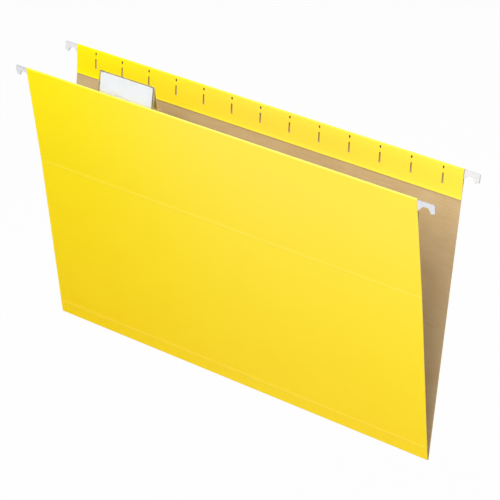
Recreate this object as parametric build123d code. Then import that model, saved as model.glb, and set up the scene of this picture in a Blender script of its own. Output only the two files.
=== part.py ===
from build123d import *
from math import asin, atan2, cos, degrees, hypot, radians, sin
import os

# Hanging file folder, in millimetres. X runs along the rods, Y from the front panel to the rear panel and Z up.
# The origin is on the lowest line of the bottom fold, midway between the side edges.

# The scored sheet
paper_thickness = 0.3
body_width = 374.65
panel_height = 238.125          # from the fold axis to the hem top, along the sheet
mouth_width = 63.0              # between the two panels at the hem tops
front_kink = 1.5                # degrees that the upper front panel leans out past the lower one
mid_score_depth = 87.125        # from the hem top down to the score across the front panel
bottom_score_height = 11.0
fold_inner_radius = 0.5
fold_flank = 1.5                # straight sheet on each side of the bottom bend
score_bead_radius = 0.22
score_gap = 0.05

# The hems, folded inwards over the rods and glued down
hem_depth = 24.4
flap_straight_depth = 16.8      # where the flap starts to slope towards the panel
flap_glued_depth = 21.4         # where it lies on the glue
glue_thickness = 0.1
glue_margin = 0.4
glue_end_margin = 3.0

# The tab slots in both hem flaps, each with a short hole above it
slot_count = 13
slot_left_margin = 17.405       # from the sheet's side edges to the middle of the last slots, seen from the panel's
slot_right_margin = 20.405      # own outside
slot_top_depth = 7.7
slot_length = 8.8
slot_top_radius = 0.6
slot_bottom_radius = 0.95
hole_top_depth = 2.5
hole_length = 2.0
hole_radius = 0.6

# The steel strip rods and the notches in their ends, measured outwards from the sheet's side edges when the rod is
# in the middle of its hem
rod_height = 8.2
rod_thickness = 0.6
rod_clearance = 0.1
front_rod_shift = 1.7           # the front rod has slid this far to the right in its hem
hook_reach = 13.2
neck_height = 3.3
notch_ceiling_start = 3.3
notch_ceiling_width = 4.7
notch_mouth_start = -1.3        # the notch starts inside the hem
notch_mouth_width = 11.5
tip_outer_height = 6.4
tip_inner_height = 7.5
tip_corner_radius = 0.8

# The white coats on the hooks
coat_thickness = 0.25
coat_start = 0.5

# The clear tab and its card
tab_thickness = 0.35
tab_centre_slots = -3           # slots to the right of the middle slot
tab_reach_slots = 1             # slots from the tab's middle to each ear
tab_side_lap = 1.8              # how far the tongue passes each ear
tab_height = 15.0               # above the hem top
tab_bend_depth = 3.0            # from the hem top down to where the window starts to lean
tab_lean = 17.5                 # degrees that the window leans in from the panel
window_inset = 0.27             # how much less than the ears' reach each half of the window is
window_shift = -0.5             # from the middle between the ears to the window's middle
window_taper = 0.3
shoulder_depth = 1.5            # from the hem top down to where the tongue narrows to the window
tab_top_radius = 0.4
tab_back_depth = 4.5            # how far the back leaf reaches below the hem top
tab_foot_gap = 0.2              # from the foot of the ears to the slot's lower end
ear_height = 4.5
ear_length = 4.0
insert_thickness = 0.2
insert_clearance = 0.1
insert_foot = 0.8
insert_headroom = 0.5
insert_left_margin = 1.2
insert_right_margin = 1.6

overrun = 2.0                   # how far every cutting shape passes its work

# Places worked out from the sizes above, with the panel upright, its middle at offset 0 and the pocket at +Y
half_sheet = paper_thickness / 2
half_width = body_width / 2
fold_radius = fold_inner_radius + half_sheet
fold_outer_radius = fold_radius + half_sheet
mid_score_height = panel_height - mid_score_depth
score_reach = score_bead_radius + score_gap

rod_offset = half_sheet + rod_clearance + rod_thickness / 2
ear_back = rod_offset + rod_thickness / 2 + rod_clearance
ear_offset = ear_back + tab_thickness / 2
flap_offset = ear_back + tab_thickness + rod_clearance + half_sheet
glued_offset = paper_thickness + glue_thickness
tongue_offset = flap_offset + half_sheet + rod_clearance + tab_thickness / 2

hem_bend_radius = flap_offset / 2
hem_centre_height = panel_height - hem_bend_radius - half_sheet
hem_edge_height = panel_height - hem_depth
flap_straight_height = panel_height - flap_straight_depth
flap_glued_height = panel_height - flap_glued_depth

slot_pitch = (body_width - slot_left_margin - slot_right_margin) / (slot_count - 1)
slot_shift = (slot_left_margin - slot_right_margin) / 2
slot_foot_height = panel_height - slot_top_depth - slot_length
hole_height = panel_height - hole_top_depth - hole_length / 2
tab_centre = slot_shift + tab_centre_slots * slot_pitch
ear_reach = tab_reach_slots * slot_pitch
tongue_reach = ear_reach + tab_side_lap
window_reach = ear_reach - window_inset
ear_foot_height = slot_foot_height + tab_foot_gap
bend_height = panel_height - tab_bend_depth
shoulder_height = panel_height - shoulder_depth
window_length = (tab_height + tab_bend_depth) / cos(radians(tab_lean))


# The lean of each half: both hem tops stand half the mouth's width from the fold
def lean_of(top_offset, top_height):
    reach = hypot(top_offset, top_height)
    return degrees(asin(mouth_width / 2 / reach) - atan2(top_offset, top_height))


kink = radians(front_kink)
kinked_offset = fold_outer_radius - half_sheet * cos(kink) + mid_score_depth * sin(kink)
kinked_height = mid_score_height + half_sheet * sin(kink) + mid_score_depth * cos(kink)
rear_lean = lean_of(fold_radius, panel_height)
front_lean = lean_of(kinked_offset, kinked_height)

fold_axis = Pos(0, 0, fold_outer_radius)
front_lower_place = fold_axis * Rot(front_lean, 0, 0) * Pos(0, -fold_radius, 0)
front_hinge = Pos(0, -half_sheet, mid_score_height)
front_upper_place = front_lower_place * front_hinge * Rot(front_kink, 0, 0) * front_hinge.inverse()
rear_place = fold_axis * Rot(-rear_lean, 0, 0) * Rot(0, 0, 180) * Pos(0, -fold_radius, 0)


# Helpers: a section is drawn as offset and height, a face of the sheet as width and height
def along_width(section, width):
    return extrude(Plane.YZ * section, width / 2, both=True)


def through_sheet(outline, thickness, offset_from_panel):
    return Pos(0, offset_from_panel, 0) * extrude(Plane.XZ * outline, thickness / 2, both=True)


def strip_section(low, high, offset_from_panel, thickness):
    middle = (low + high) / 2
    return Pos(offset_from_panel, middle) * Rectangle(thickness, high - low)


def outline_face(points):
    return make_face(Polyline(points, close=True))


def score_bead(height):
    return Pos(-half_sheet, height) * Circle(score_bead_radius)


# Sheet sections
def flat_panel(low, high):
    return strip_section(low, high, 0, paper_thickness)


def gusset_strip():
    return along_width(flat_panel(fold_flank, bottom_score_height) - score_bead(bottom_score_height), body_width)


def lower_panel():
    sheet = flat_panel(bottom_score_height, mid_score_height)
    sheet += score_bead(bottom_score_height)
    sheet += score_bead(mid_score_height)
    return along_width(sheet, body_width)


def upper_panel():
    return along_width(flat_panel(mid_score_height + score_reach, hem_centre_height), body_width)


def whole_panel():
    sheet = flat_panel(bottom_score_height, hem_centre_height)
    sheet += score_bead(bottom_score_height)
    return along_width(sheet, body_width)


def hem():
    slope = atan2(flap_offset - glued_offset, flap_glued_depth - flap_straight_depth)
    mitre = half_sheet * (1 - cos(slope)) / sin(slope)
    flap = outline_face(
        [
            (flap_offset + half_sheet, hem_centre_height),
            (flap_offset + half_sheet, flap_straight_height - mitre),
            (glued_offset + half_sheet, flap_glued_height - mitre),
            (glued_offset + half_sheet, hem_edge_height),
            (glued_offset - half_sheet, hem_edge_height),
            (glued_offset - half_sheet, flap_glued_height + mitre),
            (flap_offset - half_sheet, flap_straight_height + mitre),
            (flap_offset - half_sheet, hem_centre_height),
        ]
    )
    ring = Circle(hem_bend_radius + half_sheet) - Circle(hem_bend_radius - half_sheet)
    over_rod = ring & (Pos(0, hem_bend_radius) * Rectangle(2 * flap_offset, 2 * hem_bend_radius))
    section = flap + Pos(hem_bend_radius, hem_centre_height) * over_rod
    return along_width(section, body_width) - through_sheet(slot_row(), paper_thickness + overrun, flap_offset)


def slot_row():
    high_end = Pos(0, slot_length - slot_top_radius) * Circle(slot_top_radius)
    low_end = Pos(0, slot_bottom_radius) * Circle(slot_bottom_radius)
    slot = Pos(0, slot_foot_height) * make_hull((high_end + low_end).edges())
    hole = Pos(0, hole_height) * SlotOverall(hole_length, 2 * hole_radius, rotation=90)
    middle = (slot_count - 1) / 2
    places = [slot_shift + (k - middle) * slot_pitch for k in range(slot_count)]
    return Sketch() + [Pos(x, 0) * cut for x in places for cut in (slot, hole)]


def hem_glue():
    film = strip_section(
        hem_edge_height + glue_margin, flap_glued_height - glue_margin, half_sheet + glue_thickness / 2, glue_thickness
    )
    return along_width(film, body_width - 2 * glue_end_margin)


def bottom_bend():
    far = fold_outer_radius + overrun
    rear_end = Vector(far, 0).rotate(Axis.Z, -rear_lean)
    front_end = Vector(-far, 0).rotate(Axis.Z, front_lean)
    open_side = outline_face([(0, 0), rear_end, (far, far), (-far, far), front_end])
    arc = (Circle(fold_outer_radius) - Circle(fold_inner_radius)) - open_side
    flank = along_width(flat_panel(0, fold_flank), body_width)
    return fold_axis * along_width(arc, body_width) + front_lower_place * flank + rear_place * flank


# Rods and the coats on their hooks
def rod_outline(shift):
    half = [
        (half_width + hook_reach, 0),
        (half_width + hook_reach, tip_outer_height),
        (half_width + notch_mouth_start + notch_mouth_width, tip_inner_height),
        (half_width + notch_ceiling_start + notch_ceiling_width, neck_height),
        (half_width + notch_ceiling_start, neck_height),
        (half_width + notch_mouth_start, rod_height),
    ]
    right = [(x, hem_centre_height - drop) for x, drop in half]
    left = [(-x, z) for x, z in reversed(right)]
    outline = outline_face(right + left)
    columns = outline.vertices().group_by(Axis.X)
    return Pos(shift, 0) * fillet(columns[0] + columns[-1], tip_corner_radius)


def rod(shift=0):
    return through_sheet(rod_outline(shift), rod_thickness, rod_offset)


def hook_coat(side, shift=0):
    reach = hook_reach + abs(shift) + overrun
    beyond = Pos(side * (half_width + coat_start + reach / 2), hem_centre_height) * Rectangle(reach, 2 * hem_depth)
    skin = offset(rod_outline(shift) & beyond, coat_thickness) & beyond
    return through_sheet(skin, rod_thickness + 2 * coat_thickness, rod_offset) - rod(shift)


# The tab: a tongue on the flap, a window that leans in, a top bend and a back leaf, with an ear in each slot
window_place = Pos(tab_centre + window_shift, tongue_offset, bend_height) * Rot(-tab_lean, 0, 0)


def tab_holder():
    half_tab = tab_thickness / 2
    bend_angle = 180 - tab_lean
    window_top = Pos(tongue_offset, bend_height) * Rot(0, 0, -tab_lean) * Pos(0, window_length)
    bend_centre = (window_top * Pos(tab_top_radius, 0)).position
    back_offset = bend_centre.X + tab_top_radius
    face_start = (tongue_offset - half_tab, ear_foot_height)
    face_bend = (tongue_offset - half_tab, bend_height)
    face_top = (window_top * Pos(-half_tab, 0)).position
    back_foot = (back_offset + half_tab, panel_height - tab_back_depth)
    outer_radius = tab_top_radius + half_tab
    outer = Curve() + [
        Line(face_start, face_bend),
        Line(face_bend, face_top),
        CenterArc(bend_centre, outer_radius, bend_angle, -bend_angle),
        Line((back_offset + half_tab, bend_centre.Y), back_foot),
    ]
    section = make_face(offset(outer, tab_thickness, kind=Kind.INTERSECTION, side=Side.RIGHT))
    top_height = bend_centre.Y + outer_radius
    trim = outline_face(
        [
            (-tongue_reach, ear_foot_height),
            (tongue_reach, ear_foot_height),
            (tongue_reach, shoulder_height),
            (window_shift + window_reach, shoulder_height),
            (window_shift + window_reach - window_taper, top_height),
            (window_shift - window_reach + window_taper, top_height),
            (window_shift - window_reach, shoulder_height),
            (-tongue_reach, shoulder_height),
        ]
    )
    holder = along_width(section, 2 * (tongue_reach + overrun)) & through_sheet(trim, 2 * mouth_width, 0)
    for side in (-1, 1):
        web_depth = tongue_offset - ear_back
        web = Box(tab_thickness, web_depth, ear_height)
        ear = Box(ear_length, tab_thickness, ear_height)
        ear_middle = ear_foot_height + ear_height / 2
        holder += Pos(side * ear_reach, ear_back + web_depth / 2, ear_middle) * web
        holder += Pos(side * (ear_reach + ear_length / 2 - tab_thickness / 2), ear_offset, ear_middle) * ear
    return Pos(tab_centre, 0, 0) * holder


def tab_insert():
    width = 2 * (window_reach - window_taper) - insert_left_margin - insert_right_margin
    shift = (insert_left_margin - insert_right_margin) / 2
    height = window_length - insert_foot - insert_headroom
    gap = tab_thickness / 2 + insert_clearance
    card = Box(width, insert_thickness, height, align=(Align.CENTER, Align.MIN, Align.MIN))
    return window_place * Pos(shift, gap, insert_foot) * card


# Each piece in its place
parts = {
    "rear_hem": rear_place * hem(),
    "rear_panel": rear_place * whole_panel(),
    "rear_gusset_strip": rear_place * gusset_strip(),
    "rear_hem_glue": rear_place * hem_glue(),
    "rear_rod": rear_place * rod(),
    "rear_left_tip": rear_place * hook_coat(1),
    "rear_right_tip": rear_place * hook_coat(-1),
    "bottom_fold": bottom_bend(),
    "front_gusset_strip": front_lower_place * gusset_strip(),
    "front_panel_lower": front_lower_place * lower_panel(),
    "front_panel_upper": front_upper_place * upper_panel(),
    "front_hem": front_upper_place * hem(),
    "front_hem_glue": front_upper_place * hem_glue(),
    "front_rod": front_upper_place * rod(front_rod_shift),
    "front_left_tip": front_upper_place * hook_coat(-1, front_rod_shift),
    "front_right_tip": front_upper_place * hook_coat(1, front_rod_shift),
    "tab_holder": front_upper_place * tab_holder(),
    "tab_insert": front_upper_place * tab_insert(),
}

os.makedirs("parts", exist_ok=True)
for node, shape in parts.items():
    export_step(shape, f"parts/{node}.step")
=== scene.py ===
import bmesh
import bpy
from math import asin, atan2, cos, hypot, pi, radians, sin
from mathutils import Euler, Matrix, Vector


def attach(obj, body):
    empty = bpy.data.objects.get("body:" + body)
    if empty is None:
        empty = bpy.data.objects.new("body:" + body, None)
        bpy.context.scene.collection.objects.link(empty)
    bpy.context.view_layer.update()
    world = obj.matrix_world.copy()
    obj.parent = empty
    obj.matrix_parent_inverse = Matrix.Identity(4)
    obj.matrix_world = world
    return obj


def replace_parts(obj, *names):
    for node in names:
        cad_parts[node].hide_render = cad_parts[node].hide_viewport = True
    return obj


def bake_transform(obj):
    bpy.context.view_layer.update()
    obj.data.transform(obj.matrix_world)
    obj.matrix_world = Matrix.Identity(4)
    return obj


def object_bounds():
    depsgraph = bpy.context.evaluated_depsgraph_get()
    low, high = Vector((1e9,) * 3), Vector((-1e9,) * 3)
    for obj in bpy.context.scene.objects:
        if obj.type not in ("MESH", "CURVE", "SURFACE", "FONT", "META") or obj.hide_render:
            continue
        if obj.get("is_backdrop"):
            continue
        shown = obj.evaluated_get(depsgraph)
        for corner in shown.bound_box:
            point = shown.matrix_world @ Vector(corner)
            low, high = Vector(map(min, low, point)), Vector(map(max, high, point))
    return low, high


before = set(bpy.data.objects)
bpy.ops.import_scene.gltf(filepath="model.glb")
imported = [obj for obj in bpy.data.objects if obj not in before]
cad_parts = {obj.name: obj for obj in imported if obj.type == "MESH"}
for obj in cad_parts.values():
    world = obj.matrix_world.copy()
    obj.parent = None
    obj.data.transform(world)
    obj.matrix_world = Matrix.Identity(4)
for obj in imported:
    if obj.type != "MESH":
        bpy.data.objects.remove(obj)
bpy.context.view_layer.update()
scene = bpy.context.scene
mm = 0.001
joinReach = 0.005 * mm  # corners of an outline nearer than this become one
colourA, colourB, colourOut = 6, 7, 2  # a colour mix's sockets by number, as their names are shared
print("frame loaded:", len(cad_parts), "nodes")


# small helpers
def wire(node, links):  # each socket gets a link or a plain value
    for socket, source in links.items():
        if isinstance(source, bpy.types.NodeSocket):
            node.id_data.links.new(source, node.inputs[socket])
        else:
            node.inputs[socket].default_value = source


def addNode(tree, kind, links=None, **settings):
    node = tree.nodes.new(kind)
    for key, value in settings.items():
        setattr(node, key, value)
    wire(node, links or {})
    return node


def hexColour(code):
    channels = [int(code[i:i + 2], 16) / 255 for i in (0, 2, 4)]
    return tuple(c / 12.92 if c <= 0.04045 else ((c + 0.055) / 1.055) ** 2.4 for c in channels) + (1.0,)


def perMm(size):
    return 1 / (size * mm)  # noise scale for a pattern of that many millimetres


def newMaterial(name):  # gives the material, its tree, its shader and the piece's own coordinates
    material = bpy.data.materials.new(name)
    material.use_nodes = True
    tree = material.node_tree
    where = addNode(tree, "ShaderNodeTexCoord").outputs["Object"]
    return material, tree, tree.nodes["Principled BSDF"], where


def newTree(name, inputs, result):  # a Geometry Nodes tree with these named inputs
    tree = bpy.data.node_groups.new(name, "GeometryNodeTree")
    for socket, kind in inputs:
        tree.interface.new_socket(socket, in_out="INPUT", socket_type="NodeSocket" + kind)
    tree.interface.new_socket(result, in_out="OUTPUT", socket_type="NodeSocketGeometry")
    return tree, addNode(tree, "NodeGroupInput").outputs


def stand(name, data):  # a new object in the scene
    thing = bpy.data.objects.new(name, data)
    scene.collection.objects.link(thing)
    return thing


def madeMesh(thing):  # the object's mesh with its modifiers taken in
    return bpy.data.meshes.new_from_object(thing.evaluated_get(bpy.context.evaluated_depsgraph_get()))


def pieceFrom(name, mesh, place=None, smoothAngle=30):
    if place is not None:
        mesh.transform(place)
    mesh.polygons.foreach_set("use_smooth", [True] * len(mesh.polygons))
    mesh.set_sharp_from_angle(angle=radians(smoothAngle))
    mesh.update()
    mesh.name = name
    return stand(name, mesh)


def runTree(tree, mesh, values):
    carrier = stand("carrier", mesh)
    modifier = carrier.modifiers.new(tree.name, "NODES")
    modifier.node_group = tree
    for item in tree.interface.items_tree:
        if item.item_type == "SOCKET" and item.in_out == "INPUT" and item.name in values:
            modifier[item.identifier] = values[item.name]
    made = madeMesh(carrier)
    carrier.modifiers.remove(modifier)
    bpy.data.objects.remove(carrier)
    return made


def softenEdges(piece, width, segments, angle):  # rounds the sharp edges and keeps a plain mesh
    soften = piece.modifiers.new("soften", "BEVEL")
    soften.width = width * mm
    soften.segments = segments
    soften.limit_method = "ANGLE"
    soften.angle_limit = radians(angle)
    made = madeMesh(piece)
    piece.modifiers.clear()
    piece.data = made
    made.name = piece.name


def meshFrom(name, shape):
    mesh = bpy.data.meshes.new(name)
    shape.to_mesh(mesh)
    shape.free()
    return mesh


def pulledOutline(name, outlines, pull):  # flat outlines in millimetres, each pulled straight into a solid
    shape = bmesh.new()
    for points in outlines:
        flat = shape.faces.new([shape.verts.new(Vector(p) * mm) for p in points])
        pulled = bmesh.ops.extrude_face_region(shape, geom=[flat])["geom"]
        farEnd = [v for v in pulled if isinstance(v, bmesh.types.BMVert)]
        bmesh.ops.translate(shape, vec=Vector(pull) * mm, verts=farEnd)
    bmesh.ops.remove_doubles(shape, verts=shape.verts, dist=joinReach)
    bmesh.ops.recalc_face_normals(shape, faces=shape.faces)
    return meshFrom(name, shape)


# dyed and calendered folder board, the outside: a bright yellow with faint mottling and a soft sheen, with
# painted light towards the top and the upper right
yellowFinish = dict(colour="FBD706", deep="FAD402", upper="FFE906", paintedSheen="FFE248", wornAndHighlit="FFF08A",
                    mottleMm=26, fibreMm=1.1, waveMm=90, tone=(0.15, 0.4), roughness=(0.45, 0.58), gloss=0.1,
                    sheenAcrossMm=(-187, 60), paintedLightHeightMm=238, sheenFoot=0.25,
                    swell=0.05, swellMm=1.2, tooth=0.1, toothMm=0.03)
yellowBoard, tree, shader, where = newMaterial("yellowDyedBoard")
mottle = addNode(tree, "ShaderNodeTexNoise",
                 {"Vector": where, "Scale": perMm(yellowFinish["mottleMm"]), "Detail": 4.0})
fibre = addNode(tree, "ShaderNodeTexNoise",
                {"Vector": where, "Scale": perMm(yellowFinish["fibreMm"]), "Detail": 3.0})
wave = addNode(tree, "ShaderNodeTexNoise",
               {"Vector": where, "Scale": perMm(yellowFinish["waveMm"]), "Detail": 1.0})
patch = addNode(tree, "ShaderNodeMath",
                {0: mottle.outputs["Fac"], 1: fibre.outputs["Fac"]}, operation="MULTIPLY")
tone = addNode(tree, "ShaderNodeMapRange", {"Value": patch.outputs[0], "From Min": yellowFinish["tone"][0],
                                            "From Max": yellowFinish["tone"][1]})
dyed = addNode(tree, "ShaderNodeMix", {"Factor": tone.outputs[0], colourA: hexColour(yellowFinish["deep"]),
                                       colourB: hexColour(yellowFinish["colour"])}, data_type="RGBA")
spot = addNode(tree, "ShaderNodeSeparateXYZ", {0: where})
rise = addNode(tree, "ShaderNodeMath", {0: spot.outputs["Z"], 1: yellowFinish["paintedLightHeightMm"] * mm},
               operation="DIVIDE")
paintedTopLight = addNode(tree, "ShaderNodeMix", {"Factor": rise.outputs[0], colourA: dyed.outputs[colourOut],
                                         colourB: hexColour(yellowFinish["upper"])},
                 data_type="RGBA")  # painted light: brighter towards the top, where the light falls
# painted sheen: a paler share that grows to the right and towards the top
sheenAcross = addNode(tree, "ShaderNodeMapRange", {"Value": spot.outputs["X"],
                                                "From Min": yellowFinish["sheenAcrossMm"][0] * mm,
                                                "From Max": yellowFinish["sheenAcrossMm"][1] * mm},
                   interpolation_type="SMOOTHSTEP")
sheenUp = addNode(tree, "ShaderNodeMath",
                   {0: rise.outputs[0], 1: rise.outputs[0], 2: yellowFinish["sheenFoot"]},
                   operation="MULTIPLY_ADD")
sheenShare = addNode(tree, "ShaderNodeMath", {0: sheenAcross.outputs[0], 1: sheenUp.outputs[0]},
               operation="MULTIPLY", use_clamp=True)
paintedSheen = addNode(tree, "ShaderNodeMix", {"Factor": sheenShare.outputs[0], colourA: paintedTopLight.outputs[colourOut],
                                        colourB: hexColour(yellowFinish["paintedSheen"])},
                data_type="RGBA")  # painted sheen: paler towards the upper right, where the light falls
rubbedAndLit = addNode(tree, "ShaderNodeAttribute", attribute_name="scoreWear")  # paler along the folds: partly rubbed dye, partly a painted highlight on the crests
wornAndHighlit = addNode(tree, "ShaderNodeMix", {"Factor": rubbedAndLit.outputs["Fac"], colourA: paintedSheen.outputs[colourOut],
                                       colourB: hexColour(yellowFinish["wornAndHighlit"])}, data_type="RGBA")
rough = addNode(tree, "ShaderNodeMapRange",
                {"Value": fibre.outputs["Fac"], "To Min": yellowFinish["roughness"][0],
                 "To Max": yellowFinish["roughness"][1]})
swell = addNode(tree, "ShaderNodeBump", {"Height": wave.outputs["Fac"], "Strength": yellowFinish["swell"],
                                         "Distance": yellowFinish["swellMm"] * mm})
tooth = addNode(tree, "ShaderNodeBump",  # the fibres are drawn coarser than real ones, to show
                {"Height": fibre.outputs["Fac"], "Strength": yellowFinish["tooth"],
                 "Distance": yellowFinish["toothMm"] * mm, "Normal": swell.outputs[0]})
wire(shader, {"Base Color": wornAndHighlit.outputs[colourOut], "Specular IOR Level": yellowFinish["gloss"],
              "Roughness": rough.outputs[0], "Normal": tooth.outputs[0]})

# uncoated kraft liner, the inside: brown and matt, with long fibres along the machine direction and flecks
kraftFinish = dict(colour="C9B188", deep="C1A77C", fleck="AA8F63", streakMm=(14, 1.2), cloudMm=18,
                   fleckMm=1.6, tone=(0.72, 1.18), few=(0.68, 0.8), fleckShare=0.5, roughness=0.82,
                   tooth=0.2, toothMm=0.05)
kraftBoard, tree, shader, where = newMaterial("kraftLiner")
long, narrow = (perMm(s) for s in kraftFinish["streakMm"])
drawn = addNode(tree, "ShaderNodeMapping", {"Vector": where, "Scale": (long, narrow, narrow)})
streak = addNode(tree, "ShaderNodeTexNoise", {"Vector": drawn.outputs[0], "Scale": 1.0, "Detail": 4.0})
cloud = addNode(tree, "ShaderNodeTexNoise",
                {"Vector": where, "Scale": perMm(kraftFinish["cloudMm"]), "Detail": 3.0})
speck = addNode(tree, "ShaderNodeTexNoise",
                {"Vector": where, "Scale": perMm(kraftFinish["fleckMm"]), "Detail": 2.0})
blend = addNode(tree, "ShaderNodeMath", {0: streak.outputs["Fac"], 1: cloud.outputs["Fac"]}, operation="ADD")
tone = addNode(tree, "ShaderNodeMapRange", {"Value": blend.outputs[0], "From Min": kraftFinish["tone"][0],
                                            "From Max": kraftFinish["tone"][1]})
brown = addNode(tree, "ShaderNodeMix", {"Factor": tone.outputs[0], colourA: hexColour(kraftFinish["deep"]),
                                        colourB: hexColour(kraftFinish["colour"])}, data_type="RGBA")
few = addNode(tree, "ShaderNodeMapRange",
              {"Value": speck.outputs["Fac"], "From Min": kraftFinish["few"][0],
               "From Max": kraftFinish["few"][1], "To Max": kraftFinish["fleckShare"]})
flecked = addNode(tree, "ShaderNodeMix", {"Factor": few.outputs[0], colourA: brown.outputs[colourOut],
                                          colourB: hexColour(kraftFinish["fleck"])}, data_type="RGBA")
tooth = addNode(tree, "ShaderNodeBump", {"Height": streak.outputs["Fac"], "Strength": kraftFinish["tooth"],
                                         "Distance": kraftFinish["toothMm"] * mm})
wire(shader, {"Base Color": flecked.outputs[colourOut], "Roughness": kraftFinish["roughness"],
              "Normal": tooth.outputs[0]})

# guillotined edge of the board: the pale core between the two faces, with torn fibres
edgeFinish = dict(colour="E9CF7C", deep="C9A566", fibreMm=0.8, roughness=0.85)
cutEdge, tree, shader, where = newMaterial("cutBoardEdge")
fibre = addNode(tree, "ShaderNodeTexNoise",
                {"Vector": where, "Scale": perMm(edgeFinish["fibreMm"]), "Detail": 2.0})
core = addNode(tree, "ShaderNodeMix",
               {"Factor": fibre.outputs["Fac"], colourA: hexColour(edgeFinish["deep"]),
                colourB: hexColour(edgeFinish["colour"])}, data_type="RGBA")
wire(shader, {"Base Color": core.outputs[colourOut], "Roughness": edgeFinish["roughness"]})

# cold-rolled steel strip: grey, with rolling lines along its length
steelFinish = dict(colour="9A9B9E", deep="86878A", lineMm=(40, 0.35), roughness=(0.32, 0.52))
steelStrip, tree, shader, where = newMaterial("rolledSteelStrip")
long, narrow = (perMm(s) for s in steelFinish["lineMm"])
drawn = addNode(tree, "ShaderNodeMapping", {"Vector": where, "Scale": (long, narrow, narrow)})
lines = addNode(tree, "ShaderNodeTexNoise", {"Vector": drawn.outputs[0], "Scale": 1.0, "Detail": 3.0})
metal = addNode(tree, "ShaderNodeMix",
                {"Factor": lines.outputs["Fac"], colourA: hexColour(steelFinish["deep"]),
                 colourB: hexColour(steelFinish["colour"])}, data_type="RGBA")
rough = addNode(tree, "ShaderNodeMapRange",
                {"Value": lines.outputs["Fac"], "To Min": steelFinish["roughness"][0],
                 "To Max": steelFinish["roughness"][1]})
wire(shader, {"Base Color": metal.outputs[colourOut], "Metallic": 1.0, "Roughness": rough.outputs[0]})

# dipped vinyl on the hook ends: smooth, white, slightly waxy, with painted shade making its side walls
# greyer round the rim
vinylFinish = dict(colour="E2E2E7", deep="D6D7DD", rim="9A9BA8", poolMm=3, roughness=0.34,
                   skin=0.15, skinMm=0.05)
whiteVinyl, tree, shader, where = newMaterial("dippedWhiteVinyl")
pool = addNode(tree, "ShaderNodeTexNoise",
               {"Vector": where, "Scale": perMm(vinylFinish["poolMm"]), "Detail": 2.0})
white = addNode(tree, "ShaderNodeMix",
                {"Factor": pool.outputs["Fac"], colourA: hexColour(vinylFinish["deep"]),
                 colourB: hexColour(vinylFinish["colour"])}, data_type="RGBA")
# painted shade on the side walls of the coat
rim = addNode(tree, "ShaderNodeAttribute", attribute_name="rim")
shadedRimColour = addNode(tree, "ShaderNodeMix", {"Factor": rim.outputs["Fac"], colourA: white.outputs[colourOut],
                                       colourB: hexColour(vinylFinish["rim"])}, data_type="RGBA")
skin = addNode(tree, "ShaderNodeBump", {"Height": pool.outputs["Fac"], "Strength": vinylFinish["skin"],
                                        "Distance": vinylFinish["skinMm"] * mm})
wire(shader, {"Base Color": shadedRimColour.outputs[colourOut], "Roughness": vinylFinish["roughness"],
              "Normal": skin.outputs[0]})

# clear rigid vinyl sheet, calendered and folded: see-through and glossy, frosted at its cut ends,
# darker with painted shade along its fold and in the bands at its sides
clearFinish = dict(colour="E6E7E8", cut="EFE9DC", crease="6E6746", side="8F8564", waveMm=6,
                   roughness=(0.03, 0.11), ior=1.5, alpha=0.25, edgeAlpha=0.7, through=(1.0, 0.2),
                   middleMm=-86.21, sideFromMm=26.3, backFromMm=22.0, backToMm=27.0, blurMm=0.4,
                   sway=0.05, swayMm=0.1)
clearVinyl, tree, shader, where = newMaterial("clearRigidVinyl")
cut = addNode(tree, "ShaderNodeAttribute", attribute_name="cutEdge").outputs["Fac"]
crease = addNode(tree, "ShaderNodeAttribute", attribute_name="crease").outputs["Fac"]
leaf = addNode(tree, "ShaderNodeAttribute", attribute_name="backLeaf").outputs["Fac"]
tent = addNode(tree, "ShaderNodeAttribute", attribute_name="tent").outputs["Fac"]
along = addNode(tree, "ShaderNodeSeparateXYZ", {0: where})
fromMiddle = addNode(tree, "ShaderNodeMath", {0: along.outputs["X"], 1: clearFinish["middleMm"] * mm},
                     operation="SUBTRACT")
reach = addNode(tree, "ShaderNodeMath", {0: fromMiddle.outputs[0]}, operation="ABSOLUTE")
start = addNode(tree, "ShaderNodeMapRange", {"Value": leaf, "To Min": clearFinish["sideFromMm"] * mm,
                                             "To Max": clearFinish["backFromMm"] * mm})
full = addNode(tree, "ShaderNodeMath", {0: start.outputs[0], 1: clearFinish["blurMm"] * mm})
inner = addNode(tree, "ShaderNodeMapRange", {"Value": reach.outputs[0], "From Min": start.outputs[0],
                                             "From Max": full.outputs[0]})
outer = addNode(tree, "ShaderNodeMapRange",
                {"Value": reach.outputs[0], "From Min": clearFinish["backToMm"] * mm,
                 "From Max": (clearFinish["backToMm"] + clearFinish["blurMm"]) * mm})
bright = addNode(tree, "ShaderNodeMath", {0: outer.outputs[0], 1: leaf}, operation="MULTIPLY")
shadedBand = addNode(tree, "ShaderNodeMath", {0: inner.outputs[0], 1: bright.outputs[0]},
               operation="SUBTRACT", use_clamp=True)
side = addNode(tree, "ShaderNodeMath", {0: shadedBand.outputs[0], 1: tent}, operation="MULTIPLY")
# painted shade: darker bands at the sides of the tent
shadedBandColour = addNode(tree, "ShaderNodeMix",
                 {"Factor": side.outputs[0], colourA: hexColour(clearFinish["colour"]),
                  colourB: hexColour(clearFinish["side"])}, data_type="RGBA")
frosted = addNode(tree, "ShaderNodeMix", {"Factor": cut, colourA: shadedBandColour.outputs[colourOut],
                                          colourB: hexColour(clearFinish["cut"])}, data_type="RGBA")
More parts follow.
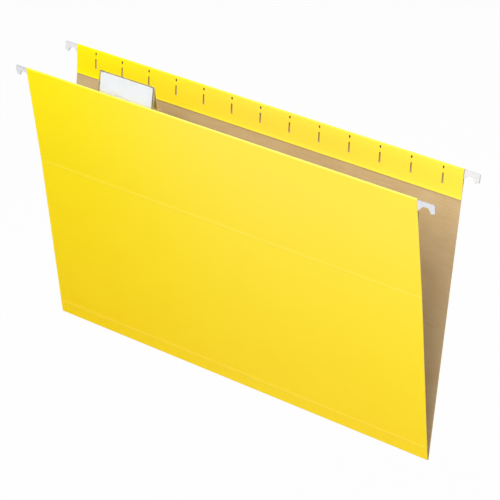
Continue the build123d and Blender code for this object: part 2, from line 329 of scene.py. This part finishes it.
# painted shade: darker along the fold
shadedAtFold = addNode(tree, "ShaderNodeMix", {"Factor": crease, colourA: frosted.outputs[colourOut],
                                         colourB: hexColour(clearFinish["crease"])}, data_type="RGBA")
edges = addNode(tree, "ShaderNodeMath", {0: cut, 1: crease}, operation="MAXIMUM")
banded = addNode(tree, "ShaderNodeMath", {0: edges.outputs[0], 1: side.outputs[0]}, operation="MAXIMUM")
solid = addNode(tree, "ShaderNodeMapRange", {"Value": banded.outputs[0], "To Min": clearFinish["alpha"],
                                             "To Max": clearFinish["edgeAlpha"]})
through = addNode(tree, "ShaderNodeMapRange",
                  {"Value": edges.outputs[0], "To Min": clearFinish["through"][0],
                   "To Max": clearFinish["through"][1]})
ripple = addNode(tree, "ShaderNodeTexNoise",
                 {"Vector": where, "Scale": perMm(clearFinish["waveMm"]), "Detail": 2.0})
rough = addNode(tree, "ShaderNodeMapRange",
                {"Value": ripple.outputs["Fac"], "To Min": clearFinish["roughness"][0],
                 "To Max": clearFinish["roughness"][1]})
sway = addNode(tree, "ShaderNodeBump", {"Height": ripple.outputs["Fac"], "Strength": clearFinish["sway"],
                                        "Distance": clearFinish["swayMm"] * mm})
wire(shader, {"Base Color": shadedAtFold.outputs[colourOut], "IOR": clearFinish["ior"], "Alpha": solid.outputs[0],
              "Transmission Weight": through.outputs[0], "Roughness": rough.outputs[0],
              "Normal": sway.outputs[0]})

# smooth bleached card: cool white and matt, with faint clouding in the pulp
cardFinish = dict(colour="E8EAEC", deep="E3E6E9", cloudMm=5, fibreMm=0.7, roughness=0.7,
                  tooth=0.1, toothMm=0.03)
whiteCard, tree, shader, where = newMaterial("bleachedCard")
cloud = addNode(tree, "ShaderNodeTexNoise",
                {"Vector": where, "Scale": perMm(cardFinish["cloudMm"]), "Detail": 4.0})
fibre = addNode(tree, "ShaderNodeTexNoise",
                {"Vector": where, "Scale": perMm(cardFinish["fibreMm"]), "Detail": 2.0})
pulp = addNode(tree, "ShaderNodeMix",
               {"Factor": cloud.outputs["Fac"], colourA: hexColour(cardFinish["deep"]),
                colourB: hexColour(cardFinish["colour"])}, data_type="RGBA")
tooth = addNode(tree, "ShaderNodeBump", {"Height": fibre.outputs["Fac"], "Strength": cardFinish["tooth"],
                                         "Distance": cardFinish["toothMm"] * mm})
wire(shader, {"Base Color": pulp.outputs[colourOut], "Roughness": cardFinish["roughness"],
              "Normal": tooth.outputs[0]})

# hot-melt glue under the hem flaps: a cream film, uneven where it was beaded on
glueFinish = dict(colour="E4D9BC", deep="D2C39C", beadMm=2.5, roughness=0.5)
hotMelt, tree, shader, where = newMaterial("hotMeltGlue")
bead = addNode(tree, "ShaderNodeTexNoise",
               {"Vector": where, "Scale": perMm(glueFinish["beadMm"]), "Detail": 2.0})
cream = addNode(tree, "ShaderNodeMix",
                {"Factor": bead.outputs["Fac"], colourA: hexColour(glueFinish["deep"]),
                 colourB: hexColour(glueFinish["colour"])}, data_type="RGBA")
wire(shader, {"Base Color": cream.outputs[colourOut], "Roughness": glueFinish["roughness"]})
print("materials made")

# the board's sizes in millimetres: offsets run from the panel's middle towards the pocket, heights up from
# the fold
board = dict(thickness=0.3, width=374.65, height=238.125, mouth=63.0, kink=1.5, midScore=151.0,
             bottomScore=11.0, foldRadius=0.65, foldSteps=20, flank=1.5, bendReach=2.0, weld=0.002)
ridge = dict(rise=0.12, reach=1.2, flat=0.4, steps=10, wearAndHighlight=0.15)  # the line that a score raises outside
hem = dict(depth=24.4, glued=21.6, flapOffset=1.55, gluedOffset=0.4, rollSteps=14, slopeSteps=12,
           liftDepth=22.3, lift=0.35, liftSteps=2, front=dict(straight=15.6, wearAndHighlight=0.35),
           rear=dict(straight=2.0, wearAndHighlight=0.0))
slotRow = dict(count=13, pitch=28.07, shift=-1.5, topDepth=7.7, length=8.8, topRadius=0.6, footRadius=0.95,
               punchReach=1.2, punchSides=16)
slotHole = dict(topDepth=2.3, length=2.3, radius=0.75)  # the short hole above each slot
halfBoard = board["thickness"] / 2


def leanFor(offset, height):  # both hem tops stand half the mouth's width from the fold
    return asin(board["mouth"] / 2 / hypot(offset, height)) - atan2(offset, height)


kink = radians(board["kink"])
upperLength = board["height"] - board["midScore"]
outerRadius = board["foldRadius"] + halfBoard
rearLean = leanFor(board["foldRadius"], board["height"])
frontLean = leanFor(outerRadius - halfBoard * cos(kink) + upperLength * sin(kink),
                    board["midScore"] + halfBoard * sin(kink) + upperLength * cos(kink))
foldAxis = Matrix.Translation((0, 0, outerRadius * mm))
fromFold = Matrix.Translation((0, -board["foldRadius"] * mm, 0))
toHinge = Matrix.Translation((0, -halfBoard * mm, board["midScore"] * mm))
frontLower = foldAxis @ Matrix.Rotation(frontLean, 4, "X") @ fromFold
frontUpper = frontLower @ toHinge @ Matrix.Rotation(kink, 4, "X") @ toHinge.inverted()
rearHalf = foldAxis @ Matrix.Rotation(-rearLean, 4, "X") @ Matrix.Rotation(pi, 4, "Z") @ fromFold


def steps(count):  # even shares from 0 to 1
    return [i / count for i in range(count + 1)]


# the board's section is drawn along its outer face, as (offset, height, how pale it is from rubbing and
# painted highlight)
def ridgeLine(height, fromShare=-1.0, toShare=1.0):
    line = []
    for s in steps(ridge["steps"]):
        share = fromShare + (toShare - fromShare) * s
        swell = cos(share * pi / 2) ** 2
        # the ridge's crest is paler: partly wear, partly a painted highlight
        line.append((-halfBoard - ridge["rise"] * swell, height + share * ridge["reach"],
                     ridge["wearAndHighlight"] * swell))
    edge = ridge["reach"] + ridge["flat"]  # the flats keep the panels beside it plane
    below = [(-halfBoard, height - edge, 0)] if fromShare < 0 else []
    above = [(-halfBoard, height + edge, 0)] if toShare > 0 else []
    return [*below, *line, *above]


def hemLine(side):  # over the rod, down the flap, onto the glue and off it again at the free edge
    top = board["height"]
    straight = side["straight"]  # longer at the front, where the tab's ears sit behind the flap
    rollRadius = (hem["flapOffset"] + board["thickness"]) / 2
    rollOffset, rollHeight = hem["flapOffset"] / 2, top - rollRadius
    turns = [pi - pi * s for s in steps(hem["rollSteps"])]
    # the roll is paler towards its top: partly wear, partly a painted highlight
    roll = [(rollOffset + rollRadius * cos(a), rollHeight + rollRadius * sin(a), side["wearAndHighlight"] * sin(a))
            for a in turns]
    drop = hem["flapOffset"] - hem["gluedOffset"]
    slope = [(hem["flapOffset"] + halfBoard - drop * (1 - cos(s * pi)) / 2,
              top - straight - (hem["glued"] - straight) * s, 0) for s in steps(hem["slopeSteps"])]
    edge = [(hem["gluedOffset"] + halfBoard + hem["lift"] * s ** 2,
             top - hem["liftDepth"] - (hem["depth"] - hem["liftDepth"]) * s, 0)
            for s in steps(hem["liftSteps"])]
    return [*roll, *slope, *edge]


def lineMesh(points):
    mesh = bpy.data.meshes.new("line")
    side = -board["width"] / 2 * mm
    links = [(i, i + 1) for i in range(len(points) - 1)]
    mesh.from_pydata([(side, y * mm, z * mm) for y, z, wearAndHighlight in points], links, [])
    wearsAndHighlights = mesh.attributes.new("scoreWear", "FLOAT", "POINT")
    wearsAndHighlights.data.foreach_set("value", [wearAndHighlight for y, z, wearAndHighlight in points])
    return mesh


def placed(place, points):  # the same points in the whole part's frame, still in millimetres
    moved = [(place @ Vector((0, y * mm, z * mm)), wearAndHighlight) for y, z, wearAndHighlight in points]
    return [(p.y / mm, p.z / mm, wearAndHighlight) for p, wearAndHighlight in moved]


# nodes that draw a scored board: the line is pulled across the width, thickened and punched with slots
boardTree, given = newTree("scoredBoard", (
    ("Line", "Geometry"), ("Width", "Float"), ("Thickness", "Float"), ("Slot Count", "Int"),
    ("Slot Pitch", "Float"), ("Slot Start", "Float"), ("Slot Top", "Float"), ("Slot Foot", "Float"),
    ("Top Radius", "Float"), ("Foot Radius", "Float"), ("Hole Top", "Float"), ("Hole Foot", "Float"),
    ("Hole Radius", "Float"), ("Flap Offset", "Float"), ("Outside", "Material"), ("Inside", "Material"),
    ("Cut Edge", "Material")), "Board")
across = addNode(boardTree, "ShaderNodeCombineXYZ", {0: given["Width"]})
face = addNode(boardTree, "GeometryNodeExtrudeMesh", {"Mesh": given["Line"], "Offset": across.outputs[0],
                                                      "Offset Scale": 1.0}, mode="EDGES")
turned = addNode(boardTree, "GeometryNodeFlipFaces", {"Mesh": face.outputs["Mesh"]})  # to thicken inwards
wall = addNode(boardTree, "GeometryNodeExtrudeMesh",
               {"Mesh": turned.outputs[0], "Offset Scale": given["Thickness"], "Individual": False},
               mode="FACES")
outerMark = addNode(boardTree, "GeometryNodeStoreNamedAttribute",
                    {"Geometry": face.outputs["Mesh"], "Name": "boardSide", "Value": 0},
                    data_type="INT", domain="FACE")
innerMark = addNode(boardTree, "GeometryNodeStoreNamedAttribute",
                    {"Geometry": wall.outputs["Mesh"], "Name": "boardSide", "Selection": wall.outputs["Top"],
                     "Value": 1}, data_type="INT", domain="FACE")
edgeMark = addNode(boardTree, "GeometryNodeStoreNamedAttribute",
                   {"Geometry": innerMark.outputs[0], "Name": "boardSide", "Selection": wall.outputs["Side"],
                    "Value": 2}, data_type="INT", domain="FACE")
both = addNode(boardTree, "GeometryNodeJoinGeometry", {0: outerMark.outputs[0]})
wire(both, {0: edgeMark.outputs[0]})
closed = addNode(boardTree, "GeometryNodeMergeByDistance", {"Geometry": both.outputs[0],
                                                            "Distance": board["weld"] * mm})
punch = addNode(boardTree, "GeometryNodeJoinGeometry")  # slot and hole, each the hull of four rings
for ends in ((("Slot Top", "Top Radius"), ("Slot Foot", "Foot Radius")),
             (("Hole Top", "Hole Radius"), ("Hole Foot", "Hole Radius"))):
    rings = addNode(boardTree, "GeometryNodeJoinGeometry")
    for height, radius in ends:
        ring = addNode(boardTree, "GeometryNodeCurvePrimitiveCircle", {"Resolution": slotRow["punchSides"],
                                                                       "Radius": given[radius]})
        for reach in (-slotRow["punchReach"] * mm, slotRow["punchReach"] * mm):
            depth = addNode(boardTree, "ShaderNodeMath", {0: given["Flap Offset"], 1: reach})
            seat = addNode(boardTree, "ShaderNodeCombineXYZ", {1: depth.outputs[0], 2: given[height]})
            stood = addNode(boardTree, "GeometryNodeTransform", {
                "Geometry": ring.outputs[0], "Translation": seat.outputs[0], "Rotation": (pi / 2, 0, 0)})
            wire(rings, {0: stood.outputs[0]})
    hull = addNode(boardTree, "GeometryNodeConvexHull", {"Geometry": rings.outputs[0]})
    wire(punch, {0: hull.outputs[0]})
punchMark = addNode(boardTree, "GeometryNodeStoreNamedAttribute",
                    {"Geometry": punch.outputs[0], "Name": "boardSide", "Value": 2},
                    data_type="INT", domain="FACE")
firstSlot = addNode(boardTree, "ShaderNodeCombineXYZ", {0: given["Slot Start"]})
step = addNode(boardTree, "ShaderNodeCombineXYZ", {0: given["Slot Pitch"]})
row = addNode(boardTree, "GeometryNodeMeshLine", {"Count": given["Slot Count"], "Offset": step.outputs[0],
                                                  "Start Location": firstSlot.outputs[0]})
punches = addNode(boardTree, "GeometryNodeInstanceOnPoints", {"Points": row.outputs[0],
                                                              "Instance": punchMark.outputs[0]})
whole = addNode(boardTree, "GeometryNodeRealizeInstances", {"Geometry": punches.outputs[0]})
punched = addNode(boardTree, "GeometryNodeMeshBoolean",
                  {"Mesh 1": closed.outputs[0], "Mesh 2": whole.outputs[0]},
                  operation="DIFFERENCE", solver="EXACT")
real = addNode(boardTree, "GeometryNodeRealizeInstances", {"Geometry": punched.outputs["Mesh"]})
mark = addNode(boardTree, "GeometryNodeInputNamedAttribute", {"Name": "boardSide"}, data_type="INT")
last = real.outputs[0]
for number, name in enumerate(("Outside", "Inside", "Cut Edge")):
    same = addNode(boardTree, "FunctionNodeCompare", {2: mark.outputs[0], 3: number},
                   data_type="INT", operation="EQUAL")
    last = addNode(boardTree, "GeometryNodeSetMaterial", {"Geometry": last, "Selection": same.outputs[0],
                                                          "Material": given[name]}).outputs[0]
addNode(boardTree, "NodeGroupOutput", {"Board": last})


def boardPiece(name, points, place=None, slots=0):
    slotTop = board["height"] - slotRow["topDepth"]
    holeTop = board["height"] - slotHole["topDepth"]
    made = runTree(boardTree, lineMesh(points), {
        "Width": board["width"] * mm, "Thickness": board["thickness"] * mm,
        "Slot Count": slots, "Slot Pitch": slotRow["pitch"] * mm,
        "Slot Start": (slotRow["shift"] - slotRow["pitch"] * (slotRow["count"] - 1) / 2) * mm,
        "Slot Top": (slotTop - slotRow["topRadius"]) * mm,
        "Slot Foot": (slotTop - slotRow["length"] + slotRow["footRadius"]) * mm,
        "Top Radius": slotRow["topRadius"] * mm, "Foot Radius": slotRow["footRadius"] * mm,
        "Hole Top": (holeTop - slotHole["radius"]) * mm,
        "Hole Foot": (holeTop - slotHole["length"] + slotHole["radius"]) * mm,
        "Hole Radius": slotHole["radius"] * mm, "Flap Offset": hem["flapOffset"] * mm,
        "Outside": yellowBoard, "Inside": kraftBoard, "Cut Edge": cutEdge})
    print(name, "has", len(made.polygons), "faces")
    return pieceFrom(name, made, place)


straightFoot = (-halfBoard, board["flank"], 0)
lowerTop = (-halfBoard, board["midScore"] - board["bendReach"], 0)
upperFoot = (-halfBoard, board["midScore"] + board["bendReach"], 0)
bottomRidge = [straightFoot, *ridgeLine(board["bottomScore"])]

frontLowerBoard = boardPiece("frontLowerBoard", [*bottomRidge, lowerTop], frontLower)
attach(frontLowerBoard, "front_lower")
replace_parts(frontLowerBoard, "front_panel_lower", "front_gusset_strip")

frontUpperBoard = boardPiece("frontUpperBoard", [upperFoot, *hemLine(hem["front"])], frontUpper,
                             slotRow["count"])
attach(frontUpperBoard, "front_upper")
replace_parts(frontUpperBoard, "front_panel_upper", "front_hem")

rearBoard = boardPiece("rearBoard", [*bottomRidge, *hemLine(hem["rear"])], rearHalf, slotRow["count"])
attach(rearBoard, "rear_half")
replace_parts(rearBoard, "rear_panel", "rear_gusset_strip", "rear_hem")

# the two creases that bend when the folder moves
creaseLine = [*placed(frontLower, [lowerTop, *ridgeLine(board["midScore"], -1, 0)]),
              *placed(frontUpper, [*ridgeLine(board["midScore"], 0, 1)[1:], upperFoot])]
midCrease = boardPiece("midCrease", creaseLine)
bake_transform(midCrease)

bendFrom, bendTo = pi + frontLean, 2 * pi - rearLean
bendAngles = [bendFrom + (bendTo - bendFrom) * s for s in steps(board["foldSteps"])]
bendLine = [(outerRadius * cos(a), outerRadius + outerRadius * sin(a), 0) for a in bendAngles]
bottomLine = [*placed(rearHalf, [straightFoot]), *reversed(bendLine), *placed(frontLower, [straightFoot])]
bottomCrease = boardPiece("bottomCrease", bottomLine)
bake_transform(bottomCrease)
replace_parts(bottomCrease, "bottom_fold")
print("board made")

# the hook ends: the strip's own outline with a rounded coat, measured outwards from the board's side edge
hook = dict(start=0.05, reach=13.2, neck=3.3, ceiling=(3.3, 8.0), mouth=(-1.3, 10.2), outerDrop=6.4,
            innerDrop=7.5, rodHeight=8.2, rodOffset=0.55, rodThickness=0.6, frontShift=1.7, coat=0.25,
            seatCoats=(0.4, 0.6), tipCoats=1.3, endRadius=0.15, tipRadius=1.0, innerRadius=0.35,
            seatRadii=(0.9, 0.5), roundSteps=5, sharpest=0.2, rimFacing=0.7, smooth=60,
            soft=0.25, softSteps=3, softAngle=50)


def roundedLine(corners):  # corners are (x, y, radius)
    line = []
    for i, (x, y, radius) in enumerate(corners):
        corner = Vector((x, y))
        before = (Vector(corners[i - 1][:2]) - corner).normalized()
        after = (Vector(corners[(i + 1) % len(corners)][:2]) - corner).normalized()
        halfTurn = before.angle(after) / 2
        reach = radius / max(hook["sharpest"], abs(sin(halfTurn))) * abs(cos(halfTurn))
        a, b = corner + before * reach, corner + after * reach
        line += [a * (1 - t) ** 2 + corner * 2 * t * (1 - t) + b * t ** 2 for t in steps(hook["roundSteps"])]
    return line


def hookCorners(slid):  # slid is how far the rod has moved out on this side
    c = hook["coat"]
    slope = (hook["rodHeight"] - hook["neck"]) / (hook["ceiling"][0] - hook["mouth"][0])
    foot = hook["neck"] + (hook["ceiling"][0] + slid - hook["start"]) * slope + hypot(1, slope) * c
    tip, inner = hook["reach"] + slid + c, hook["mouth"][1] + slid - c
    seatFrom = hook["ceiling"][0] + slid + hook["seatCoats"][0] * c
    seatTo = hook["ceiling"][1] + slid - hook["seatCoats"][1] * c
    return [(hook["start"], c, hook["endRadius"]),
            (tip, c, hook["tipRadius"]),
            (tip, -hook["outerDrop"] - c, hook["tipRadius"]),
            (inner, -hook["innerDrop"] - hook["tipCoats"] * c, hook["innerRadius"]),
            (seatTo, -hook["neck"] - c, hook["seatRadii"][0]),
            (seatFrom, -hook["neck"] - c, hook["seatRadii"][1]),
            (hook["start"], -foot, hook["endRadius"])]


def hookPiece(name, side, slid, place, body):
    rodTop = board["height"] - (hem["flapOffset"] + board["thickness"]) / 2
    half = hook["rodThickness"] / 2 + hook["coat"]
    outline = [(side * (board["width"] / 2 + p.x), hook["rodOffset"] - half, rodTop + p.y)
               for p in roundedLine(hookCorners(slid))]
    mesh = pulledOutline(name, [outline], (0, 2 * half, 0))
    # the side walls are marked for the painted shade
    shadedRims = mesh.attributes.new("rim", "FLOAT", "FACE")
    shadedRims.data.foreach_set("value", [float(abs(f.normal.y) < hook["rimFacing"]) for f in mesh.polygons])
    mesh.materials.append(whiteVinyl)
    piece = pieceFrom(name, mesh, place, hook["smooth"])
    softenEdges(piece, hook["soft"], hook["softSteps"], hook["softAngle"])
    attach(piece, body)
    return piece


for name, side, slid, place, body, node in (
        ("frontLeftHookCoat", -1, -hook["frontShift"], frontUpper, "front_upper", "front_left_tip"),
        ("frontRightHookCoat", 1, hook["frontShift"], frontUpper, "front_upper", "front_right_tip"),
        ("rearLeftHookCoat", 1, 0, rearHalf, "rear_half", "rear_left_tip"),
        ("rearRightHookCoat", -1, 0, rearHalf, "rear_half", "rear_right_tip")):
    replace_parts(hookPiece(name, side, slid, place, body), node)
print("hooks made")

# the clear tab: a strip folded over into a tent, cut to its outline, with an ear at each side in a slot
tab = dict(thickness=0.35, centreSlots=-3, sideLap=1.8, height=15.0, bendDepth=3.0, lean=17.5,
           windowInset=0.27, windowShift=-0.5, taper=0.3, shoulderDepth=2.4, topRadius=0.4, foldSteps=10,
           backDepth=4.5, offset=1.975, footGap=0.2, earHeight=4.5, earLength=4.0, earBack=0.95,
           edge=0.07, edgeSteps=2, edgeAngle=40, overrun=1, trimReach=20,
           endFacing=0.9, leafFacing=0.99, foldFacing=0.4)
tabLean = radians(tab["lean"])
tabCentre = slotRow["shift"] + tab["centreSlots"] * slotRow["pitch"]
tabFoot = board["height"] - slotRow["topDepth"] - slotRow["length"] + tab["footGap"]
tabBend = board["height"] - tab["bendDepth"]
windowLength = (tab["height"] + tab["bendDepth"]) / cos(tabLean)
windowReach = slotRow["pitch"] - tab["windowInset"]
tongueReach = slotRow["pitch"] + tab["sideLap"]
stripReach = tongueReach + tab["overrun"]


def tabSection():  # the folded strip seen from its end: out along one face and back along the other
    top = Vector((tab["offset"] + windowLength * sin(tabLean), board["height"] + tab["height"]))
    centre = top + Vector((cos(tabLean), -sin(tabLean))) * tab["topRadius"]
    line = [(Vector((tab["offset"], tabFoot)), Vector((-1, 0))),
            (Vector((tab["offset"], tabBend)), Vector((-cos(tabLean / 2), sin(tabLean / 2))))]
    for s in steps(tab["foldSteps"]):
        angle = (pi - tabLean) * (1 - s)
        away = Vector((cos(angle), sin(angle)))
        line.append((centre + away * tab["topRadius"], away))
    line.append((Vector((centre.x + tab["topRadius"], board["height"] - tab["backDepth"])), Vector((1, 0))))
    half = tab["thickness"] / 2
    face = [p + away * half for p, away in line]
    back = [p - away * half for p, away in line]
    return [(tabCentre - stripReach, p.x, p.y) for p in face + back[::-1]]


def tabTrim():  # the strip's outline from the front, wide below the hem top and narrower at the window
    low, high = tab["windowShift"] - windowReach, tab["windowShift"] + windowReach
    shoulder = board["height"] - tab["shoulderDepth"]
    top = board["height"] + tab["height"] + 2 * tab["topRadius"]
    outline = [(-tongueReach, tabFoot), (tongueReach, tabFoot), (tongueReach, shoulder), (high, shoulder),
               (high - tab["taper"], top), (low + tab["taper"], top), (low, shoulder),
               (-tongueReach, shoulder)]
    return [(tabCentre + x, 0, z) for x, z in outline]


def tabEars():  # seen from above: a web through the slot and an ear behind the flap
    t, back = tab["thickness"], tab["earBack"]
    webIn, webOut = slotRow["pitch"] - t / 2, slotRow["pitch"] + t / 2
    plan = [(webIn, tab["offset"]), (webIn, back), (webIn + tab["earLength"], back),
            (webIn + tab["earLength"], back + t), (webOut, back + t), (webOut, tab["offset"])]
    return [[(tabCentre + side * x, y, tabFoot) for x, y in plan] for side in (-1, 1)]


# nodes that cut the folded strip to its outline, join the ears to it and mark its ends, fold and back leaf
tabTree, given = newTree("clearTab", (("Strip", "Geometry"), ("Outline", "Object"), ("Ears", "Object"),
                                      ("Clear", "Material")), "Tab")
outline = addNode(tabTree, "GeometryNodeObjectInfo", {"Object": given["Outline"]})
ears = addNode(tabTree, "GeometryNodeObjectInfo", {"Object": given["Ears"]})
trimmed = addNode(tabTree, "GeometryNodeMeshBoolean", {"Mesh 2": given["Strip"]},
                  operation="INTERSECT", solver="EXACT")
wire(trimmed, {"Mesh 2": outline.outputs["Geometry"]})
joined = addNode(tabTree, "GeometryNodeMeshBoolean", {"Mesh 2": trimmed.outputs["Mesh"]},
                 operation="UNION", solver="EXACT")
wire(joined, {"Mesh 2": ears.outputs["Geometry"]})
normal = addNode(tabTree, "GeometryNodeInputNormal")
facing = addNode(tabTree, "ShaderNodeSeparateXYZ", {0: normal.outputs[0]})
position = addNode(tabTree, "GeometryNodeInputPosition")
spot = addNode(tabTree, "ShaderNodeSeparateXYZ", {0: position.outputs[0]})
sideways = addNode(tabTree, "ShaderNodeMath", {0: facing.outputs["X"]}, operation="ABSOLUTE")
ends = addNode(tabTree, "ShaderNodeMath",
               {0: sideways.outputs[0], 1: tab["endFacing"]}, operation="GREATER_THAN")
upright = addNode(tabTree, "ShaderNodeMath", {0: facing.outputs["Y"]}, operation="ABSOLUTE")
leaf = addNode(tabTree, "ShaderNodeMath",
               {0: upright.outputs[0], 1: tab["leafFacing"]}, operation="GREATER_THAN")
ups = addNode(tabTree, "ShaderNodeMath",
              {0: facing.outputs["Z"], 1: tab["foldFacing"]}, operation="GREATER_THAN")
high = addNode(tabTree, "ShaderNodeMath",
               {0: spot.outputs["Z"], 1: board["height"] * mm}, operation="GREATER_THAN")
fold = addNode(tabTree, "ShaderNodeMath", {0: ups.outputs[0], 1: high.outputs[0]}, operation="MULTIPLY")
last = joined.outputs["Mesh"]
for name, value in (("cutEdge", ends), ("crease", fold), ("backLeaf", leaf), ("tent", high)):
    last = addNode(tabTree, "GeometryNodeStoreNamedAttribute",
                   {"Geometry": last, "Name": name, "Value": value.outputs[0]},
                   data_type="FLOAT", domain="FACE").outputs[0]
real = addNode(tabTree, "GeometryNodeRealizeInstances", {"Geometry": last})
clear = addNode(tabTree, "GeometryNodeSetMaterial",
                {"Geometry": real.outputs[0], "Material": given["Clear"]})
addNode(tabTree, "NodeGroupOutput", {"Tab": clear.outputs[0]})

strip = pulledOutline("tabStrip", [tabSection()], (2 * stripReach, 0, 0))
outlineTool = stand("tabOutline", pulledOutline("tabOutline", [tabTrim()], (0, tab["trimReach"], 0)))
earsTool = stand("tabEars", pulledOutline("tabEars", tabEars(), (0, 0, tab["earHeight"])))
made = runTree(tabTree, strip, {"Outline": outlineTool, "Ears": earsTool, "Clear": clearVinyl})
bpy.data.objects.remove(outlineTool)
bpy.data.objects.remove(earsTool)
clearTab = pieceFrom("clearTab", made, frontUpper)
softenEdges(clearTab, tab["edge"], tab["edgeSteps"], tab["edgeAngle"])
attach(clearTab, "tab")
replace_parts(clearTab, "tab_holder")

# the blank card behind the window, with rounded corners and a slight bow
card = dict(width=52.2, shift=-0.2, thickness=0.2, foot=0.8, headroom=0.5, gap=0.275, corner=0.6,
            cornerSteps=3, bow=0.1, columns=24)
halfCard = card["width"] / 2
cornerShares = steps(card["cornerSteps"])[:-1]
stations = [-halfCard + card["corner"] * s for s in cornerShares]
stations += [(2 * s - 1) * (halfCard - card["corner"]) for s in steps(card["columns"])]
stations += [halfCard - card["corner"] * s for s in reversed(cornerShares)]
shape = bmesh.new()
rows = []
for x in stations:
    inCorner = max(0.0, abs(x) - halfCard + card["corner"])
    trim = card["corner"] - (card["corner"] ** 2 - inCorner ** 2) ** 0.5
    front = card["gap"] + card["bow"] * (1 - (x / halfCard) ** 2)
    back = front + card["thickness"]
    low, high = card["foot"] + trim, windowLength - card["headroom"] - trim
    section = ((front, low), (back, low), (back, high), (front, high))
    rows.append([shape.verts.new((x * mm, y * mm, z * mm)) for y, z in section])
for left, right in zip(rows, rows[1:]):
    for k in range(4):
        shape.faces.new((left[k], left[(k + 1) % 4], right[(k + 1) % 4], right[k]))
shape.faces.new(rows[0])
shape.faces.new(rows[-1])
bmesh.ops.recalc_face_normals(shape, faces=shape.faces)
mesh = meshFrom("blankCard", shape)
mesh.materials.append(whiteCard)
windowFoot = Vector((tabCentre + tab["windowShift"] + card["shift"], tab["offset"], tabBend)) * mm
windowPlace = frontUpper @ Matrix.Translation(windowFoot) @ Matrix.Rotation(-tabLean, 4, "X")
blankCard = pieceFrom("blankCard", mesh, windowPlace)
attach(blankCard, "card")
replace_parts(blankCard, "tab_insert")
print("tab and card made")

# solids that keep their shape
for node, finish in (("rear_rod", steelStrip), ("front_rod", steelStrip),
                     ("rear_hem_glue", hotMelt), ("front_hem_glue", hotMelt)):
    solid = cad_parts[node]
    solid.data.materials.clear()
    solid.data.materials.append(finish)

# floor, light and camera: the folder hangs, and the floor is as far below as it reaches when it swings open
stage = dict(floorDrop=260, floorSize=6.0, floorColour="D8D8D8", floorGlow=0.96, floorRoughness=0.9,
             worldLight=0.5, worldColour="FFFFFF")
lamps = [dict(name="keyPanel", place=(-0.05, -0.55, 1.05), aim=(0.0, -0.03, 0.18), size=1.0, watts=11.8),
         dict(name="sidePanel", place=(0.95, -0.28, 0.3), aim=(0, 0, 0.1), size=0.5, watts=3.4),
         dict(name="backPanel", place=(-0.3, 0.9, 0.9), aim=(0, 0, 0.12), size=1.0, watts=6.0)]
shot = dict(place=(0.95800, -1.22453, 0.95585), turn=(61.7634, -0.2016, 37.7301), lens=161.614, sensor=36.0,
            clip=(0.05, 50.0))


def shownRays(tree):  # 1 for what the camera sees, straight, in gloss or through the clear tab
    path = addNode(tree, "ShaderNodeLightPath").outputs
    seen = addNode(tree, "ShaderNodeMath", {0: path["Is Camera Ray"], 1: path["Is Glossy Ray"]})
    shown = addNode(tree, "ShaderNodeMath",
                    {0: seen.outputs[0], 1: path["Is Transmission Ray"]}, use_clamp=True)
    return shown.outputs[0]


reach, level = stage["floorSize"], -stage["floorDrop"] * mm
floorMesh = bpy.data.meshes.new("floor")
floorMesh.from_pydata([(-reach, -reach, level), (reach, -reach, level), (reach, reach, level),
                       (-reach, reach, level)], [], [(0, 1, 2, 3)])
floor = stand("floor", floorMesh)
floor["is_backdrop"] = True
paleFloor = bpy.data.materials.new("paleFloor")  # painted board, white to the camera but still shaded
paleFloor.use_nodes = True
tree = paleFloor.node_tree
shader = tree.nodes["Principled BSDF"]
wire(shader, {"Base Color": hexColour(stage["floorColour"]), "Roughness": stage["floorRoughness"],
              "Specular IOR Level": 0.0})
share = addNode(tree, "ShaderNodeMath", {0: shownRays(tree), 1: stage["floorGlow"]}, operation="MULTIPLY")
glow = addNode(tree, "ShaderNodeEmission", {"Strength": 1.0})
mixed = addNode(tree, "ShaderNodeMixShader", {0: share.outputs[0], 1: shader.outputs[0], 2: glow.outputs[0]})
wire(tree.nodes["Material Output"], {"Surface": mixed.outputs[0]})
floorMesh.materials.append(paleFloor)

world = bpy.data.worlds.new("softStudio")
world.use_nodes = True
scene.world = world
tree = world.node_tree
strength = addNode(tree, "ShaderNodeMapRange", {"Value": shownRays(tree), "To Min": stage["worldLight"],
                                                "To Max": 1.0})
wire(tree.nodes["Background"], {"Color": hexColour(stage["worldColour"]), "Strength": strength.outputs[0]})

for lamp in lamps:
    panel = bpy.data.lights.new(lamp["name"], "AREA")
    panel.shape = "SQUARE"
    panel.size = lamp["size"]
    panel.energy = lamp["watts"]
    holder = stand(lamp["name"], panel)
    holder.location = lamp["place"]
    holder.rotation_euler = (Vector(lamp["aim"]) - Vector(lamp["place"])).to_track_quat("-Z", "Y").to_euler()

camera = stand("camera", bpy.data.cameras.new("camera"))
camera.location = shot["place"]
camera.rotation_euler = Euler([radians(a) for a in shot["turn"]])
camera.data.lens = shot["lens"]
camera.data.sensor_width = shot["sensor"]
camera.data.clip_start, camera.data.clip_end = shot["clip"]
scene.camera = camera
scene.view_settings.view_transform = "Standard"
print("stage made")

low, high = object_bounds()
